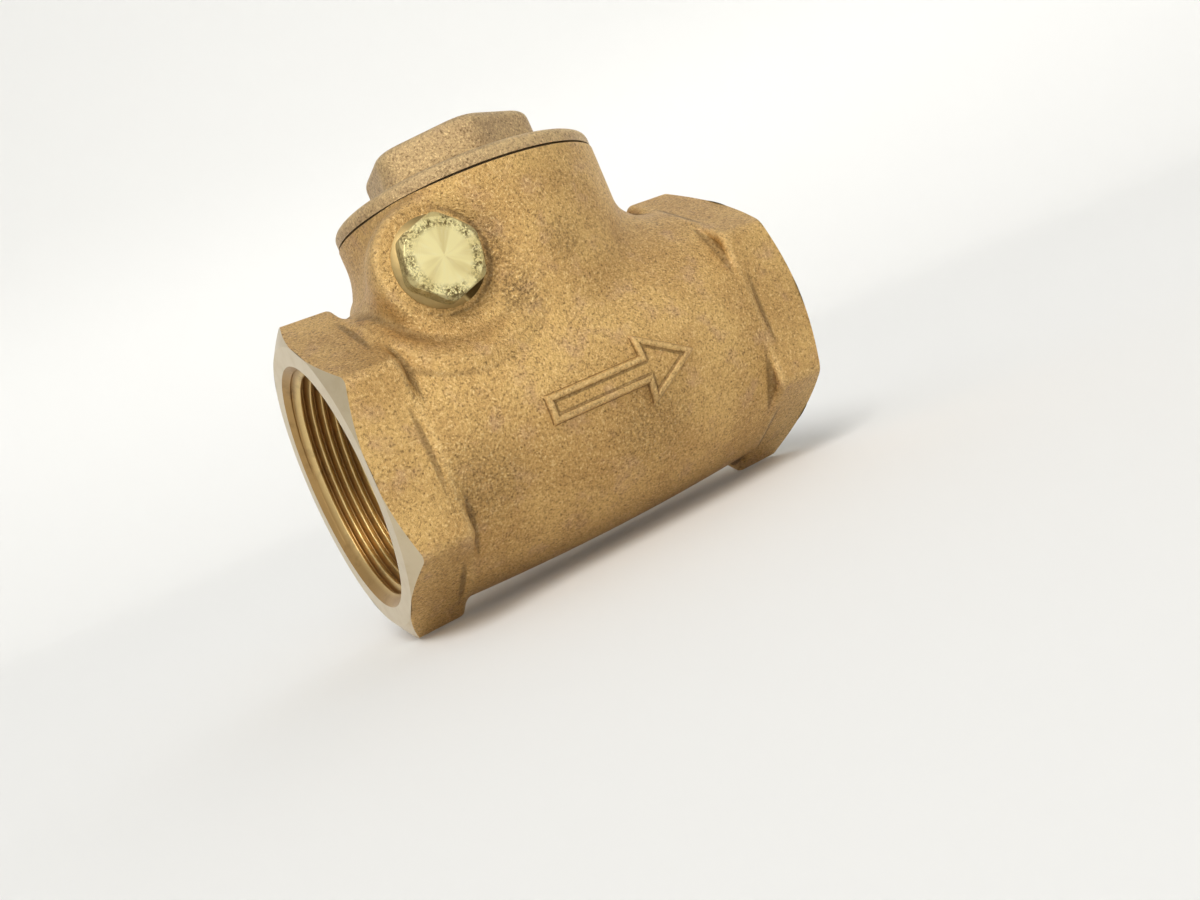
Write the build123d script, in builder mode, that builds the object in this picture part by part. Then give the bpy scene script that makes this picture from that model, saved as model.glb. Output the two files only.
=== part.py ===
from build123d import *
import os
from math import radians, sqrt, tan

# Horizontal swing check valve for 1-1/2 inch pipe, with screwed ends and a screw-in cap.
# Frame: +X runs with the flow, from inlet to outlet, and +Z runs up through the cap.
# The origin is the centre of the inlet's end face, on the flow axis.  Sizes in millimetres.

# ---- body casting
body_length = 97.0
across_flats = 57.2
hexagon_length = 12.7
barrel_radius = 30.6            # at the crown, half way along
barrel_end_radius = 29.6        # where the barrel meets each hexagon
end_chamfer_angle = 30.0
face_margin = 0.2               # the turned end face is this much wider than the flats
hexagon_rear_round = 1.5
neck_radius = 28.4
neck_top = 43.9
neck_blend = 4.5                # cast fillet between neck and barrel

# ---- screwed ends: 1-1/2 inch taper pipe thread, bored here to its root
thread_root_radius = 24.0
thread_depth = 18.5
mouth_radius = 24.95            # countersink at the end face

# ---- passages cast inside the body
port_radius = 18.5
seat_rise = 1.0                 # machined seat ring, proud of the chamber's end wall
seat_land = 2.8                 # width of the seat ring
chamber_radius = 26.2
outlet_wall = 3.0
outlet_port_radius = 20.0
neck_cavity_radius = 25.2
cap_thread_radius = 22.4
cap_thread_depth = 8.0

# ---- hinge pin, across the body above the seat
pin_behind_seat = 5.2
pin_z = 30.5
neck_behind_pin = 20.7          # the neck's axis stands this far down the flow from the pin
pin_radius = 2.0
pin_bearing = 5.0               # length of pin held in each side wall
pin_running_clearance = 0.05
pin_seat_clearance = 0.02
knuckle_radius = 4.0
knuckle_width = 12.0
pocket_clearance = 0.8

# ---- plug that closes the hinge pin's hole
plug_boss_radius = 11.0
plug_boss_face = 24.1           # distance of the boss's face from the flow axis
plug_boss_round = 1.0
spot_face_radius = 9.8          # machined seat for the plug's head
plug_across_flats = 14.7
plug_head_height = 3.4
plug_head_turn = 19.85          # where the hexagon came to rest when it was tightened
plug_face_margin = 0.1          # the turned face is this much smaller than the flats
plug_thread_radius = 5.0
plug_shank_length = 6.0
plug_hole_depth = 6.6
plug_gasket_thickness = 0.4
plug_gasket_radius = 6.6
blind_boss_radius = 7.0
blind_boss_face = 22.5

# ---- screw-in cap and its gasket
gasket_thickness = 0.5
gasket_setback = 0.9            # the gasket lies this far inside the rim
cap_flange_thickness = 3.0
cap_flange_radius = 28.2
cap_edge_round = 1.6
cap_hexagon_across_flats = 34.0
cap_hexagon_height = 9.5
cap_hexagon_turn = 25.0         # where the cap came to rest when it was tightened
cap_corner_round = 3.5
cap_top_round = 1.8
cap_skirt_length = 7.0
cap_wall = 4.8
cap_core_radius = 12.5
cap_crown = 4.8                  # metal left over the cored middle
screw_clearance = 0.05

# ---- disc, hung from the pin by its hinge arm
disc_rim = 2.0                  # depth of the lip that holds the seat disc
disc_lip_width = 1.45
disc_plate = 3.5
disc_back_taper = 1.2
disc_hub_radius = 14.0
seat_gap = 0.1                  # left between seat and seat disc when closed
seat_disc_radius = 20.0
seat_disc_thickness = 3.0
seat_disc_fit = 0.05
stem_radius = 4.0
stem_length = 15.8
stud_radius = 3.0
stud_length = 7.0
arm_gap = 0.4                   # between the disc's back and the arm's eye
arm_thickness = 5.2
arm_width = 9.0
eye_radius = 8.5
stem_running_clearance = 0.08
washer_thickness = 1.0
washer_radius = 7.2
disc_nut_across_flats = 13.0
disc_nut_height = 5.5
lock_pin_radius = 0.8
lock_pin_length = 12.0
lock_pin_clearance = 0.02
lock_pin_gap = 0.3              # between the nut's back and the lock pin
retainer_radius = 12.0
retainer_thickness = 1.0
retainer_nut_across_flats = 10.0
retainer_nut_height = 2.9
nut_fit = 0.03

# ---- cast flow arrow on the side of the barrel
arrow_length = 34.0
arrow_head_length = 13.0
arrow_head_width = 15.0
arrow_shaft_width = 6.0
arrow_height = 0.7
arrow_behind_neck = 1.5
arrow_centre_z = -2.0

# ---- places that follow from the sizes above
middle = body_length / 2
arrow_block_depth = barrel_radius + 2 * arrow_height
hexagon_corner = across_flats / sqrt(3)
pin_x = middle - neck_behind_pin
seat_face = pin_x - pin_behind_seat
seat_base = seat_face - seat_rise
arrow_centre_x = middle + arrow_behind_neck
outlet_lip = body_length - thread_depth - outlet_wall
thread_bottom = neck_top - cap_thread_depth
cap_base = neck_top + gasket_thickness
cap_flange_top = cap_base + cap_flange_thickness
cavity_half_width = sqrt(neck_cavity_radius**2 - neck_behind_pin**2)
pin_end = cavity_half_width + pin_bearing
pocket_radius = knuckle_radius + pocket_clearance
pocket_width = knuckle_width + 2 * pocket_clearance
seat_disc_face = seat_face + seat_gap
disc_inner_radius = seat_disc_radius + seat_disc_fit
disc_radius = disc_inner_radius + disc_lip_width
disc_recess = seat_disc_face + seat_disc_thickness
disc_back = disc_recess + disc_plate
arm_face = disc_back + arm_gap
arm_back = arm_face + arm_thickness
nut_face = arm_back + arm_gap / 2 + washer_thickness
nut_back = nut_face + disc_nut_height
lock_pin_x = nut_back + lock_pin_radius + lock_pin_gap

os.makedirs("parts", exist_ok=True)


def save(part, name):
    """Label a finished piece and write it under its own name."""
    part.label = name
    export_step(part, f"parts/{name}.step")


# ---- one wrench hexagon, with its outer corners turned back to a cone
with BuildPart() as end_hexagon:
    with BuildSketch(Plane.YZ):
        RegularPolygon(across_flats / 2, 6, major_radius=False, rotation=30)
    extrude(amount=hexagon_length)
    with BuildSketch(Plane.XZ):
        face_radius = across_flats / 2 + face_margin
        overhang = hexagon_corner + 1 - face_radius
        cone_foot = overhang * tan(radians(end_chamfer_angle))
        Polygon((0, 0), (0, face_radius), (cone_foot, face_radius + overhang),
                (hexagon_length, face_radius + overhang), (hexagon_length, 0), align=None)
    revolve(axis=Axis.X, mode=Mode.INTERSECT)
    chamfer(end_hexagon.faces().sort_by(Axis.X)[-1].edges(), hexagon_rear_round)


def passage_outline():
    """Half outline of the flow passage, from the inlet face to the outlet face."""
    countersink = mouth_radius - thread_root_radius
    return [(0, mouth_radius), (countersink, thread_root_radius),
            (thread_depth, thread_root_radius), (thread_depth, port_radius),
            (seat_face, port_radius), (seat_face, port_radius + seat_land),
            (seat_base, port_radius + seat_land), (seat_base, chamber_radius),
            (outlet_lip, chamber_radius), (outlet_lip, outlet_port_radius),
            (body_length - thread_depth, outlet_port_radius),
            (body_length - thread_depth, thread_root_radius),
            (body_length - countersink, thread_root_radius), (body_length, mouth_radius),
            (body_length, 0), (0, 0)]


def barrel_outline(raised=0.0):
    """Wire of half the barrel: a shallow crown over the length between the hexagons."""
    inset = hexagon_length - hexagon_rear_round
    start = (inset, barrel_end_radius + raised)
    finish = (body_length - inset, barrel_end_radius + raised)
    ThreePointArc(start, (middle, barrel_radius + raised), finish)
    Polyline(finish, (finish[0], 0), (start[0], 0), start)


# ---- raised arrow that shows which way the water runs
with BuildPart() as flow_arrow:
    with BuildSketch(Plane.XZ):
        tip = arrow_centre_x + arrow_length / 2
        tail = arrow_centre_x - arrow_length / 2
        barb = tip - arrow_head_length
        upper = [(tail, arrow_shaft_width / 2), (barb, arrow_shaft_width / 2),
                 (barb, arrow_head_width / 2), (tip, 0)]
        lower = [(x, -z) for x, z in reversed(upper[:-1])]
        with Locations((0, arrow_centre_z)):
            Polygon(*upper, *lower, align=None)
    extrude(amount=arrow_block_depth)
    with BuildSketch(Plane.XZ):
        with BuildLine():
            barrel_outline(arrow_height)
        make_face()
    revolve(axis=Axis.X, mode=Mode.INTERSECT)

# ---- boss that the plug screws into
with BuildPart() as plug_boss:
    with BuildSketch(Plane.XZ):
        with Locations((pin_x, pin_z)):
            Circle(plug_boss_radius)
    extrude(amount=plug_boss_face)
    fillet(plug_boss.faces().sort_by(Axis.Y)[0].edges(), plug_boss_round)

# ---- body: barrel, neck, hexagons and bosses, then the passages
with BuildPart() as body:
    with BuildSketch(Plane.XZ):
        with BuildLine():
            barrel_outline()
        make_face()
    revolve(axis=Axis.X)
    with BuildSketch(Plane.XY):
        with Locations((middle, 0)):
            Circle(neck_radius)
    extrude(amount=neck_top)
    fillet(body.edges().filter_by(GeomType.BSPLINE), neck_blend)
    add(end_hexagon.part)
    mirror(end_hexagon.part, about=Plane.YZ.offset(middle))
    add(flow_arrow.part)
    add(plug_boss.part)
    with BuildSketch(Plane.XZ):
        with Locations((pin_x, pin_z)):
            Circle(blind_boss_radius)
    extrude(amount=-blind_boss_face)
    with BuildSketch(Plane.XZ):
        Polygon(*passage_outline(), align=None)
    revolve(axis=Axis.X, mode=Mode.SUBTRACT)
    with BuildSketch(Plane.XY):
        with Locations((middle, 0)):
            Circle(neck_cavity_radius)
    extrude(amount=thread_bottom, mode=Mode.SUBTRACT)
    with BuildSketch(Plane.XY.offset(thread_bottom)):
        with Locations((middle, 0)):
            Circle(cap_thread_radius)
    extrude(amount=cap_thread_depth, mode=Mode.SUBTRACT)
    with BuildSketch(Plane.XZ):
        with Locations((pin_x, pin_z)):
            Circle(pocket_radius)
    extrude(amount=pocket_width / 2, both=True, mode=Mode.SUBTRACT)
    with BuildSketch(Plane.XZ.offset(plug_boss_face)):
        with Locations((pin_x, pin_z)):
            Circle(spot_face_radius)
    extrude(amount=neck_radius, mode=Mode.SUBTRACT)
    with BuildSketch(Plane.XZ.offset(plug_boss_face)):
        with Locations((pin_x, pin_z)):
            Circle(plug_thread_radius)
    extrude(amount=-plug_hole_depth, mode=Mode.SUBTRACT)
    with BuildSketch(Plane.XZ.offset(plug_boss_face)):
        with Locations((pin_x, pin_z)):
            Circle(pin_radius + pin_seat_clearance)
    extrude(amount=-(plug_boss_face + pin_end), mode=Mode.SUBTRACT)

# ---- screw-in cap, cored from below
with BuildPart() as cap:
    with BuildSketch(Plane.XY.offset(cap_base)):
        with Locations((middle, 0)):
            Circle(cap_flange_radius)
    extrude(amount=cap_flange_thickness)
    fillet(cap.edges().group_by(Axis.Z)[-1], cap_edge_round)
    with BuildSketch(Plane.XY.offset(cap_flange_top)):
        with Locations((middle, 0)):
            RegularPolygon(cap_hexagon_across_flats / 2, 6, major_radius=False,
                           rotation=cap_hexagon_turn)
    extrude(amount=cap_hexagon_height)
    fillet(cap.edges().filter_by(Axis.Z).group_by(Axis.Z)[-1], cap_corner_round)
    fillet(cap.faces().sort_by(Axis.Z)[-1].edges(), cap_top_round)
    with BuildSketch(Plane.XY.offset(cap_base)):
        with Locations((middle, 0)):
            Circle(cap_thread_radius - screw_clearance)
    extrude(amount=-cap_skirt_length)
    with BuildSketch(Plane.XY.offset(cap_base - cap_skirt_length)):
        with Locations((middle, 0)):
            Circle(cap_thread_radius - screw_clearance - cap_wall)
    extrude(amount=cap_skirt_length, mode=Mode.SUBTRACT)
    with BuildSketch(Plane.XY.offset(cap_base)):
        with Locations((middle, 0)):
            Circle(cap_core_radius)
    extrude(amount=cap_flange_thickness + cap_hexagon_height - cap_crown, mode=Mode.SUBTRACT)

# ---- flat gasket between neck and cap
with BuildPart() as cap_gasket:
    with BuildSketch(Plane.XY.offset(neck_top)):
        with Locations((middle, 0)):
            Circle(cap_flange_radius - gasket_setback)
            Circle(cap_thread_radius, mode=Mode.SUBTRACT)
    extrude(amount=gasket_thickness)

# ---- hinge pin, from the bottom of the plug's hole to the blind end across the body
pin_start = plug_boss_face - plug_shank_length - plug_gasket_thickness
with BuildPart() as hinge_pin:
    with BuildSketch(Plane.XZ.offset(pin_start)):
        with Locations((pin_x, pin_z)):
            Circle(pin_radius)
    extrude(amount=-(pin_start + pin_end))
    chamfer(hinge_pin.edges(), pin_radius / 6)

# ---- plug that closes the pin's hole, and its gasket
plug_seat = plug_boss_face + plug_gasket_thickness
with BuildPart() as hinge_pin_plug:
    with BuildSketch(Plane.XZ.offset(plug_seat)):
        with Locations((pin_x, pin_z)):
            RegularPolygon(plug_across_flats / 2, 6, major_radius=False,
                           rotation=plug_head_turn + 30)
    extrude(amount=plug_head_height)
    with BuildSketch(Plane.XZ.offset(plug_seat + plug_head_height)):
        with Locations((pin_x, pin_z)):
            Circle(plug_across_flats / 2 - plug_face_margin)
    extrude(amount=-plug_head_height, taper=end_chamfer_angle - 90, mode=Mode.INTERSECT)
    with BuildSketch(Plane.XZ.offset(plug_seat)):
        with Locations((pin_x, pin_z)):
            Circle(plug_thread_radius - screw_clearance)
    extrude(amount=-plug_shank_length)

with BuildPart() as plug_gasket:
    with BuildSketch(Plane.XZ.offset(plug_boss_face)):
        with Locations((pin_x, pin_z)):
            Circle(plug_gasket_radius)
            Circle(plug_thread_radius, mode=Mode.SUBTRACT)
    extrude(amount=plug_gasket_thickness)

# ---- hinge arm: a knuckle on the pin, a web, and the eye that carries the disc's stem
with BuildPart() as disc_hinge:
    with BuildSketch(Plane.XZ):
        with Locations((pin_x, pin_z)):
            Circle(knuckle_radius)
    extrude(amount=knuckle_width / 2, both=True)
    with BuildSketch(Plane.XZ):
        Polygon((arm_face, 0), (arm_back, 0), (arm_back, eye_radius),
                (pin_x + knuckle_radius, pin_z), (pin_x, pin_z),
                (arm_face - knuckle_radius, pin_z - knuckle_radius),
                (arm_face, disc_radius + arm_gap), align=None)
    extrude(amount=arm_width / 2, both=True)
    with BuildSketch(Plane.YZ.offset(arm_face)):
        Circle(eye_radius)
    extrude(amount=arm_thickness)
    with BuildSketch(Plane.YZ.offset(arm_face)):
        Circle(stem_radius + stem_running_clearance)
    extrude(amount=arm_thickness, mode=Mode.SUBTRACT)
    with BuildSketch(Plane.XZ):
        with Locations((pin_x, pin_z)):
            Circle(pin_radius + pin_running_clearance)
    extrude(amount=knuckle_width, both=True, mode=Mode.SUBTRACT)

# ---- disc: a dished plate with its stem behind and a stud for the seat disc in front
with BuildPart() as disc:
    with BuildSketch(Plane.XZ):
        Polygon((disc_recess - stud_length, 0), (disc_recess - stud_length, stud_radius),
                (disc_recess, stud_radius), (disc_recess, disc_inner_radius),
                (disc_recess - disc_rim, disc_inner_radius),
                (disc_recess - disc_rim, disc_radius),
                (disc_back - disc_back_taper, disc_radius), (disc_back, disc_hub_radius),
                (disc_back, stem_radius), (disc_back + stem_length, stem_radius),
                (disc_back + stem_length, 0), align=None)
    revolve(axis=Axis.X)
    with BuildSketch(Plane.XZ):
        with Locations((lock_pin_x, 0)):
            Circle(lock_pin_radius + lock_pin_clearance)
    extrude(amount=2 * stem_radius, both=True, mode=Mode.SUBTRACT)

with BuildPart() as seat_disc:
    with BuildSketch(Plane.YZ.offset(seat_disc_face)):
        Circle(seat_disc_radius)
        Circle(stud_radius + nut_fit, mode=Mode.SUBTRACT)
    extrude(amount=seat_disc_thickness)

with BuildPart() as seat_disc_washer:
    with BuildSketch(Plane.YZ.offset(seat_disc_face)):
        Circle(retainer_radius)
        Circle(stud_radius + nut_fit, mode=Mode.SUBTRACT)
    extrude(amount=-retainer_thickness)
    chamfer(seat_disc_washer.edges().group_by(Axis.X)[0].sort_by(SortBy.RADIUS)[-1],
            retainer_thickness / 3)


def hexagon_nut(face_x, across, height, bore):
    """Nut on the flow axis, reaching height along X from face_x, both ends chamfered."""
    with BuildPart() as nut:
        with BuildSketch(Plane.YZ.offset(face_x)):
            RegularPolygon(across / 2, 6, major_radius=False)
        extrude(amount=height)
        with BuildSketch(Plane.XZ):
            corner = across / sqrt(3)
            slope = (corner - across / 2) * tan(radians(end_chamfer_angle))
            far = face_x + height
            Polygon((face_x, 0), (face_x, across / 2), (face_x + slope, corner),
                    (far - slope, corner), (far, across / 2), (far, 0), align=None)
        revolve(axis=Axis.X, mode=Mode.INTERSECT)
        with BuildSketch(Plane.YZ.offset(face_x)):
            Circle(bore)
        extrude(amount=height, mode=Mode.SUBTRACT)
    return nut.part


with BuildPart() as disc_washer:
    with BuildSketch(Plane.YZ.offset(nut_face - washer_thickness)):
        Circle(washer_radius)
        Circle(stem_radius + nut_fit, mode=Mode.SUBTRACT)
    extrude(amount=washer_thickness)

with BuildPart() as lock_pin:
    with BuildSketch(Plane.XZ):
        with Locations((lock_pin_x, 0)):
            Circle(lock_pin_radius)
    extrude(amount=lock_pin_length / 2, both=True)
    chamfer(lock_pin.edges(), lock_pin_radius / 4)

retainer_face = seat_disc_face - retainer_thickness - retainer_nut_height
seat_disc_nut = hexagon_nut(retainer_face, retainer_nut_across_flats, retainer_nut_height,
                            stud_radius + nut_fit)
disc_nut = hexagon_nut(nut_face, disc_nut_across_flats, disc_nut_height, stem_radius + nut_fit)

save(body.part, "body")
save(cap.part, "cap")
save(cap_gasket.part, "cap_gasket")
save(hinge_pin.part, "hinge_pin")
save(hinge_pin_plug.part, "hinge_pin_plug")
save(plug_gasket.part, "plug_gasket")
save(disc_hinge.part, "disc_hinge")
save(disc.part, "disc")
save(seat_disc.part, "seat_disc")
save(seat_disc_washer.part, "seat_disc_washer")
save(seat_disc_nut, "seat_disc_nut")
save(disc_washer.part, "disc_washer")
save(disc_nut, "disc_nut")
save(lock_pin.part, "lock_pin")
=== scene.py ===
"""Bronze swing check valve with screwed ends: the visual model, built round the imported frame.

Shapes are worked out in millimetres in the frame's own axes: X runs with the flow from the
inlet's end face, Z runs up through the cap.  They are written to the meshes in metres.
"""
import logging
import math
from dataclasses import dataclass, field
from enum import Enum
from typing import Callable, Optional, Sequence

import bpy
import numpy as np
from mathutils import Matrix, Vector


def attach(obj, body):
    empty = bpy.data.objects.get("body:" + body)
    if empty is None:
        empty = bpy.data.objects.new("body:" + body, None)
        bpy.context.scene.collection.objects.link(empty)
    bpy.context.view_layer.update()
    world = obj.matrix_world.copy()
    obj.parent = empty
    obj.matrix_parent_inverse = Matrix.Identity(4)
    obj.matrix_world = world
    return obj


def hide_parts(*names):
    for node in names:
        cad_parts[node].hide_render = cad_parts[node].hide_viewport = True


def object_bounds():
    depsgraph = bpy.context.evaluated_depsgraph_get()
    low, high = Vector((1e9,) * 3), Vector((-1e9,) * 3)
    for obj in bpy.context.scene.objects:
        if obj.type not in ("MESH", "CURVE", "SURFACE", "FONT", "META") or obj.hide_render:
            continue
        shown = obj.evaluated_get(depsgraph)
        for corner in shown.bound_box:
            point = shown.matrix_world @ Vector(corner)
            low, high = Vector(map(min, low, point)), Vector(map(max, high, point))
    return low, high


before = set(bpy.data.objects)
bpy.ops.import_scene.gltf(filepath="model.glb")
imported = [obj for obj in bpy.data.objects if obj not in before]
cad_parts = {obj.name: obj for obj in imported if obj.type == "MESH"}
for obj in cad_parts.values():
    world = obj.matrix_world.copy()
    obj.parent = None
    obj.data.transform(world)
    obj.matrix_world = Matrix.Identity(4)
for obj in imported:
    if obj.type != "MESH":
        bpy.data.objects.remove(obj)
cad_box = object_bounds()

log = logging.getLogger("check_valve")

MM = 0.001
SNAP = 0.3
PASSAGE_SNAP = 0.25
Array = np.ndarray
Field = Callable[[Array], Array]


# ---------------------------------------------------------------- shape maths on whole arrays
def soft_min(a: Array, b: Array, blend: float | Array) -> Array:
    """Join two distances with a fillet: the lesser, less h^2 * blend / 4 where they are close.

    Args:
        a: first distances.
        b: second distances.
        blend: width over which the fillet acts, in mm.

    Returns:
        The joined distances; h is 1 - |a - b| / blend, held at 0 or more.
    """
    h = np.maximum(1.0 - np.abs(a - b) / blend, 0.0)
    return np.minimum(a, b) - 0.25 * blend * h * h


def soft_max(a: Array, b: Array, blend: float | Array) -> Array:
    """Cut one distance by another with a rounded edge; the mirror image of soft_min."""
    return -soft_min(-a, -b, blend)


def round_edge(a: Array, b: Array, radius: float) -> Array:
    """Cut one distance by another, with a true quarter circle of that radius on the edge."""
    over = np.hypot(np.maximum(a + radius, 0.0), np.maximum(b + radius, 0.0))
    return np.minimum(-radius, np.maximum(a, b)) + over


def smooth_step(value: Array, low: float, high: float) -> Array:
    """Rise from 0 at low to 1 at high along 3t^2 - 2t^3."""
    t = np.clip((value - low) / (high - low), 0.0, 1.0)
    return t * t * (3.0 - 2.0 * t)


def hexagon_distance(u: Array, v: Array, half_flats: float, turn: float, blend: float) -> Array:
    """Distance to a hexagon: the greatest of |q . n| over its three normals, less half its flats.

    Args:
        u: first coordinate in the hexagon's plane.
        v: second coordinate.
        half_flats: half the width across flats.
        turn: angle of the first flat's normal from the first axis, in degrees.
        blend: width over which each corner is softened.

    Returns:
        The distance, negative inside.
    """
    sides = []
    for step in range(3):
        angle = math.radians(turn + 60.0 * step)
        sides.append(np.abs(u * math.cos(angle) + v * math.sin(angle)))
    return soft_max(soft_max(sides[0], sides[1], blend), sides[2], blend) - half_flats


def hexagon_radius(angle: Array, half_flats: float, turn: float, corner: float) -> Array:
    """Radius of a hexagon with eased corners, as half_flats / cos of the angle off the flat.

    Args:
        angle: directions from the centre, in radians.
        half_flats: half the width across flats.
        turn: angle of the first flat's normal, in degrees.
        corner: how far each corner is brought in.

    Returns:
        The radius along each direction.
    """
    sixth = math.pi / 3.0
    off = np.mod(angle - math.radians(turn) + sixth / 2.0, sixth) - sixth / 2.0
    sharp = half_flats / np.cos(off)
    peak = half_flats / math.cos(sixth / 2.0) - corner
    return soft_min(sharp, np.full_like(sharp, peak), corner)


def gradient(shape: Field, points: Array, reach: float = 0.02) -> Array:
    """Slope of a field at each point, from its change over +-reach along each axis.

    Args:
        shape: the field.
        points: where to measure it.
        reach: how far to each side it is sampled, in mm.

    Returns:
        The slope along each axis, one row for each point.
    """
    slope = np.empty_like(points)
    for axis in range(3):
        offset = np.zeros(3)
        offset[axis] = reach
        slope[:, axis] = (shape(points + offset) - shape(points - offset)) / (2.0 * reach)
    return slope


def bend_of(shape: Field, points: Array, reach: float = 0.9) -> Array:
    """How sharply a field's surface bends, in 1/mm: over 0 on edges, under 0 in hollows.

    It is the sum over the axes of f(p + reach) + f(p - reach) - 2 f(p), over reach squared.

    Args:
        shape: the field, negative inside.
        points: where to measure it.
        reach: how far to each side it is sampled, in mm.

    Returns:
        The bend at each point.
    """
    total = np.zeros(len(points))
    for axis in range(3):
        offset = np.zeros(3)
        offset[axis] = reach
        total += shape(points + offset) + shape(points - offset)
    return (total - 6.0 * shape(points)) / (reach * reach)


def pull_to(shapes: Sequence[Field], points: Array, rounds: int = 4) -> Array:
    """Move points onto the zero of every shape in turn, by p - d * slope / |slope|^2.

    Args:
        shapes: the fields to meet.
        points: the points to move.
        rounds: how often each field is gone through.

    Returns:
        The moved points, in a new array.
    """
    points = points.copy()
    for _ in range(rounds):
        for shape in shapes:
            distance = np.clip(shape(points), -1.0, 1.0)
            slope = gradient(shape, points)
            size = np.maximum((slope * slope).sum(axis=1), 0.05)
            points -= (distance / size)[:, None] * slope
    return points


# ---------------------------------------------------------------- meshes as whole arrays
@dataclass
class Shell:
    """A mesh that grows by arrays of points and faces, each face with a finish number."""

    points: list[Array] = field(default_factory=list)
    faces: list[Array] = field(default_factory=list)
    finishes: list[Array] = field(default_factory=list)
    bends: list[Array] = field(default_factory=list)
    count: int = 0

    def add_points(self, points: Array, bend: Optional[Array] = None) -> Array:
        """Add points, with how sharply the surface bends at each, and return their numbers.

        Args:
            points: the new points, one a row.
            bend: how sharply the surface bends at each, or None where it is plain.

        Returns:
            Their point numbers.
        """
        numbers = np.arange(self.count, self.count + len(points))
        self.points.append(points)
        self.bends.append(np.zeros(len(points)) if bend is None else bend)
        self.count += len(points)
        return numbers

    def add_faces(self, faces: Array, finish: int, flip: bool = False) -> None:
        """Add faces of three or four corners, turned over when flip is set.

        Args:
            faces: the new faces, by point number.
            finish: finish number of its faces.
            flip: turn the faces over.
        """
        faces = faces[:, ::-1] if flip else faces
        self.faces.append(faces)
        self.finishes.append(np.full(len(faces), finish))

    def band(self, lower: Array, upper: Array, finish: int, flip: bool = False) -> None:
        """Join two closed rings of the same count with four-cornered faces."""
        faces = np.stack([lower, np.roll(lower, -1), np.roll(upper, -1), upper], axis=1)
        self.add_faces(faces, finish, flip)

    def cap(self, ring: Array, centre: Array, finish: int, flip: bool = False) -> None:
        """Close a ring with a fan about a point.

        Args:
            ring: the rim's point numbers in order.
            centre: place of the middle point.
            finish: finish number of its faces.
            flip: turn the faces over.
        """
        middle = self.add_points(centre[None, :])[0]
        faces = np.stack([ring, np.roll(ring, -1), np.full(len(ring), middle)], axis=1)
        self.add_faces(faces, finish, flip)

    def turned(self, points: Array, rim: Array, axis: int, centre: tuple[float, float],
               profile: Sequence[tuple[float, float]], finish: int, flip: bool = False) -> Array:
        """Carry a rim through circles about an axis: centre + radius * (cos, sin), at a level.

        Args:
            points: the mesh's points, numbered as in the shell.
            rim: numbers of the rim's points, in any order.
            axis: the axis that the circles go round: 0, 1 or 2.
            centre: its place along the other two axes.
            profile: radius of each circle, and its level along the axis.
            finish: finish number of the faces.
            flip: turn the faces over.

        Returns:
            The point numbers of the last circle.
        """
        u, v = (i for i in range(3) if i != axis)
        angle = np.arctan2(points[rim, v] - centre[1], points[rim, u] - centre[0])
        order = np.argsort(angle)
        ring, around = rim[order], angle[order]
        for radius, level in profile:
            circle = np.empty((len(ring), 3))
            circle[:, u] = centre[0] + radius * np.cos(around)
            circle[:, v] = centre[1] + radius * np.sin(around)
            circle[:, axis] = level
            inner = self.add_points(circle)
            self.band(ring, inner, finish, flip)
            ring = inner
        return ring

    def grid(self, points: Array, finish: int, flip: bool = False) -> tuple[Array, Array]:
        """Add a tube of rings, and return its first and last ring.

        Args:
            points: rows of rings, shaped (rings, around, 3).
            finish: finish number of its faces.
            flip: turn the faces over.

        Returns:
            The point numbers of the first and the last ring.
        """
        rings, around, _ = points.shape
        numbers = self.add_points(points.reshape(-1, 3)).reshape(rings, around)
        lower, upper = numbers[:-1], numbers[1:]
        quads = np.stack([lower, np.roll(lower, -1, 1), np.roll(upper, -1, 1), upper], -1)
        self.add_faces(quads.reshape(-1, 4), finish, flip)
        return numbers[0], numbers[-1]

    def build(self, name: str, materials: Sequence[bpy.types.Material],
              crease: float = 24.0) -> bpy.types.Object:
        """Write the shell to a Blender object in metres.

        An edge is sharp where its two faces have different finishes, or have the machined
        finish 1 and turn by more than crease; everything else is shaded smooth.

        Args:
            name: the object's name.
            materials: one material for each finish number.
            crease: angle in degrees past which a machined edge is sharp.

        Returns:
            The new object, linked to the scene.
        """
        points = np.concatenate(self.points) * MM
        sizes = np.concatenate([np.full(len(f), f.shape[1]) for f in self.faces])
        corners = np.concatenate([f.ravel() for f in self.faces])
        finish = np.concatenate(self.finishes)
        mesh = bpy.data.meshes.new(name)
        mesh.vertices.add(len(points))
        mesh.vertices.foreach_set("co", points.astype(np.float32).ravel())
        mesh.loops.add(len(corners))
        mesh.loops.foreach_set("vertex_index", corners.astype(np.int32))
        mesh.polygons.add(len(sizes))
        starts = np.concatenate([[0], np.cumsum(sizes)[:-1]])
        mesh.polygons.foreach_set("loop_start", starts.astype(np.int32))
        mesh.polygons.foreach_set("material_index", finish.astype(np.int32))
        mesh.update(calc_edges=True)
        for material in materials:
            mesh.materials.append(material)
        mesh.shade_smooth()
        self._mark_sharp(mesh, sizes, finish, math.cos(math.radians(crease)))
        bend = mesh.attributes.new("bend", "FLOAT", "POINT")
        bend.data.foreach_set("value", np.concatenate(self.bends).astype(np.float32))
        mesh.validate()
        made = bpy.data.objects.new(name, mesh)
        bpy.context.scene.collection.objects.link(made)
        return made

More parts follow.
